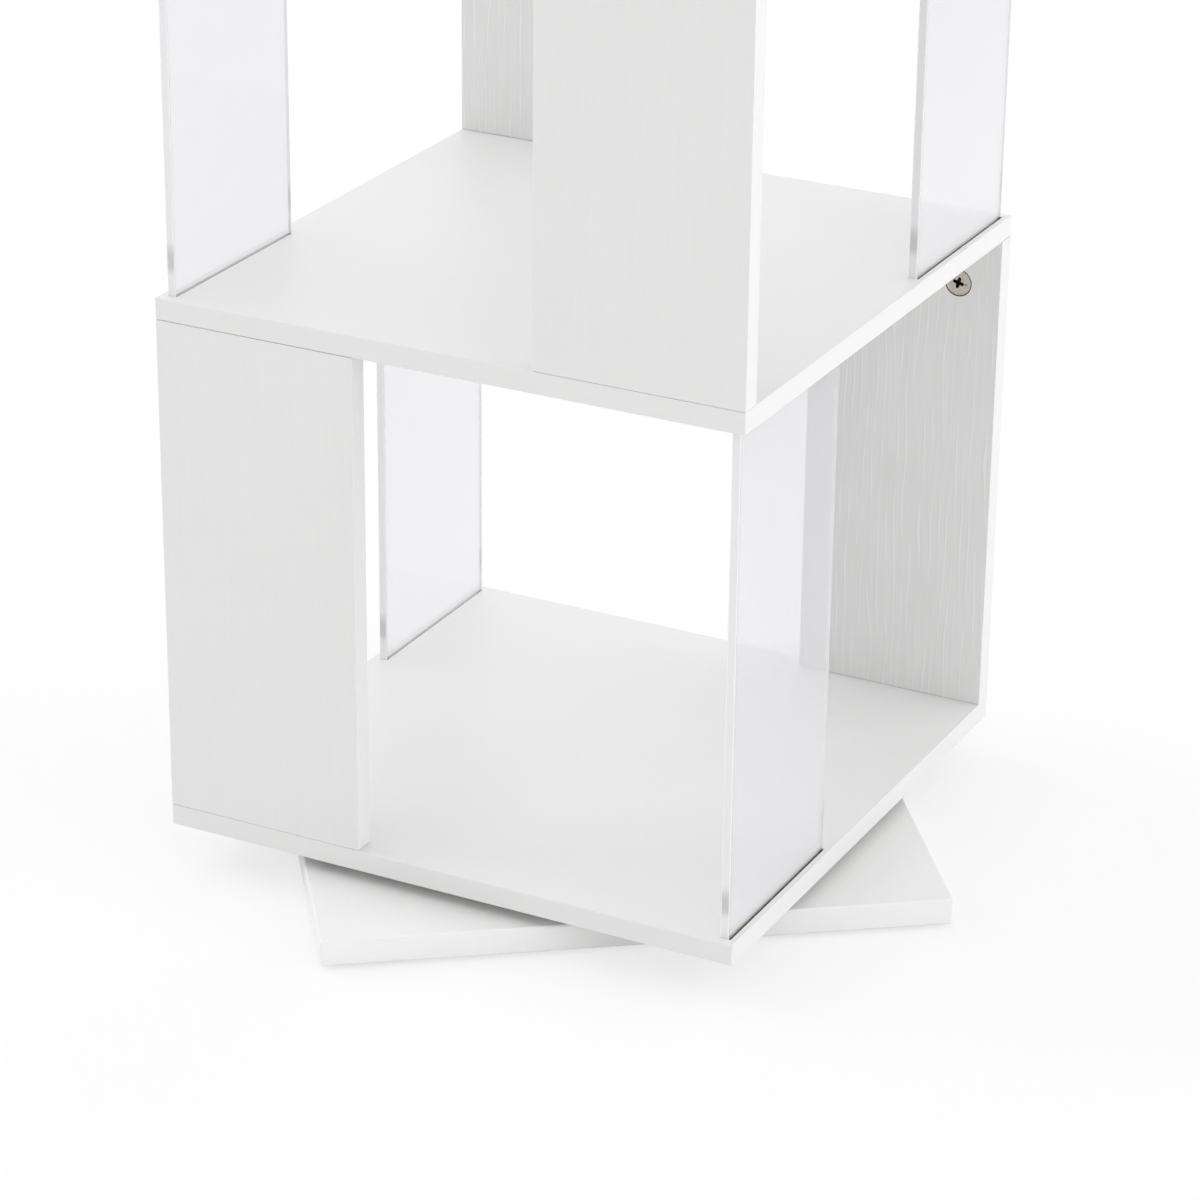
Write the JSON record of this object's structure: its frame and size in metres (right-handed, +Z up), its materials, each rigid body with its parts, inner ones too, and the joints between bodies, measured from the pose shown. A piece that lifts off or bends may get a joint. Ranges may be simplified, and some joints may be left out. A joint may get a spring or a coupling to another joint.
{
  "type": "revolving bookcase",
  "caption": "Tall square tower of open shelves that turns on a ball-bearing turntable over a square base board, with wood panels and clear acrylic guards at its corners.",
  "frame": {"origin": "on the floor, on the axis that the tower turns about", "axes": "+Z up, X and Y square to the tower's faces; the picture looks from -Y and a little from +X"},
  "size_m": [0.4744, 0.4744, 1.5058],
  "materials": {
    "white_laminate": "satin white wood-grain laminate",
    "clear_acrylic": "clear, polished edges",
    "cam_nickel": "satin nickel",
    "zinc_steel": "zinc plated",
    "felt_pad": "grey felt"
  },
  "bodies": {
    "base": {"base_board": "white_laminate", "foot_pad_1": "felt_pad", "foot_pad_2": "felt_pad", "foot_pad_3": "felt_pad", "foot_pad_4": "felt_pad", "lower_swivel_plate": "zinc_steel", "centre_rivet": "zinc_steel"},
    "ball_ring": {"ball_cage": "zinc_steel"},
    "tower": {"upper_swivel_plate": "zinc_steel", "bottom_shelf": "white_laminate", "shelf_2": "white_laminate", "shelf_3": "white_laminate", "shelf_4": "white_laminate", "shelf_5": "white_laminate", "top_board": "white_laminate", "wood_panel_front_1": "white_laminate", "wood_panel_back_1": "white_laminate", "wood_panel_front_2": "white_laminate", "wood_panel_back_2": "white_laminate", "wood_panel_front_3": "white_laminate", "wood_panel_back_3": "white_laminate", "wood_panel_front_4": "white_laminate", "wood_panel_back_4": "white_laminate", "wood_panel_front_5": "white_laminate", "wood_panel_back_5": "white_laminate", "acrylic_guard_left_1": "clear_acrylic", "acrylic_guard_right_1": "clear_acrylic", "acrylic_guard_left_2": "clear_acrylic", "acrylic_guard_right_2": "clear_acrylic", "acrylic_guard_left_3": "clear_acrylic", "acrylic_guard_right_3": "clear_acrylic", "acrylic_guard_left_4": "clear_acrylic", "acrylic_guard_right_4": "clear_acrylic", "acrylic_guard_left_5": "clear_acrylic", "acrylic_guard_right_5": "clear_acrylic", "cam_lock_front_1a": "cam_nickel", "cam_lock_front_1b": "cam_nickel", "cam_lock_back_1a": "cam_nickel", "cam_lock_back_1b": "cam_nickel", "cam_lock_front_2a": "cam_nickel", "cam_lock_front_2b": "cam_nickel", "cam_lock_back_2a": "cam_nickel", "cam_lock_back_2b": "cam_nickel", "cam_lock_front_3a": "cam_nickel", "cam_lock_front_3b": "cam_nickel", "cam_lock_back_3a": "cam_nickel", "cam_lock_back_3b": "cam_nickel", "cam_lock_front_4a": "cam_nickel", "cam_lock_front_4b": "cam_nickel", "cam_lock_back_4a": "cam_nickel", "cam_lock_back_4b": "cam_nickel", "cam_lock_front_5a": "cam_nickel", "cam_lock_front_5b": "cam_nickel", "cam_lock_back_5a": "cam_nickel", "cam_lock_back_5b": "cam_nickel"}
  },
  "joints": [
    {"name": "revolve", "type": "hinge", "parent": "base", "child": "tower", "pos_m": [0, 0, 0.02055], "axis": [0, 0, 1], "continuous": true},
    {"name": "ball_ring_roll", "type": "hinge", "parent": "base", "child": "ball_ring", "pos_m": [0, 0, 0.02055], "axis": [0, 0, 1], "continuous": true}
  ],
  "couplings": [
    {"joint": "ball_ring_roll", "follows": "revolve", "ratio": 0.5}
  ]
}
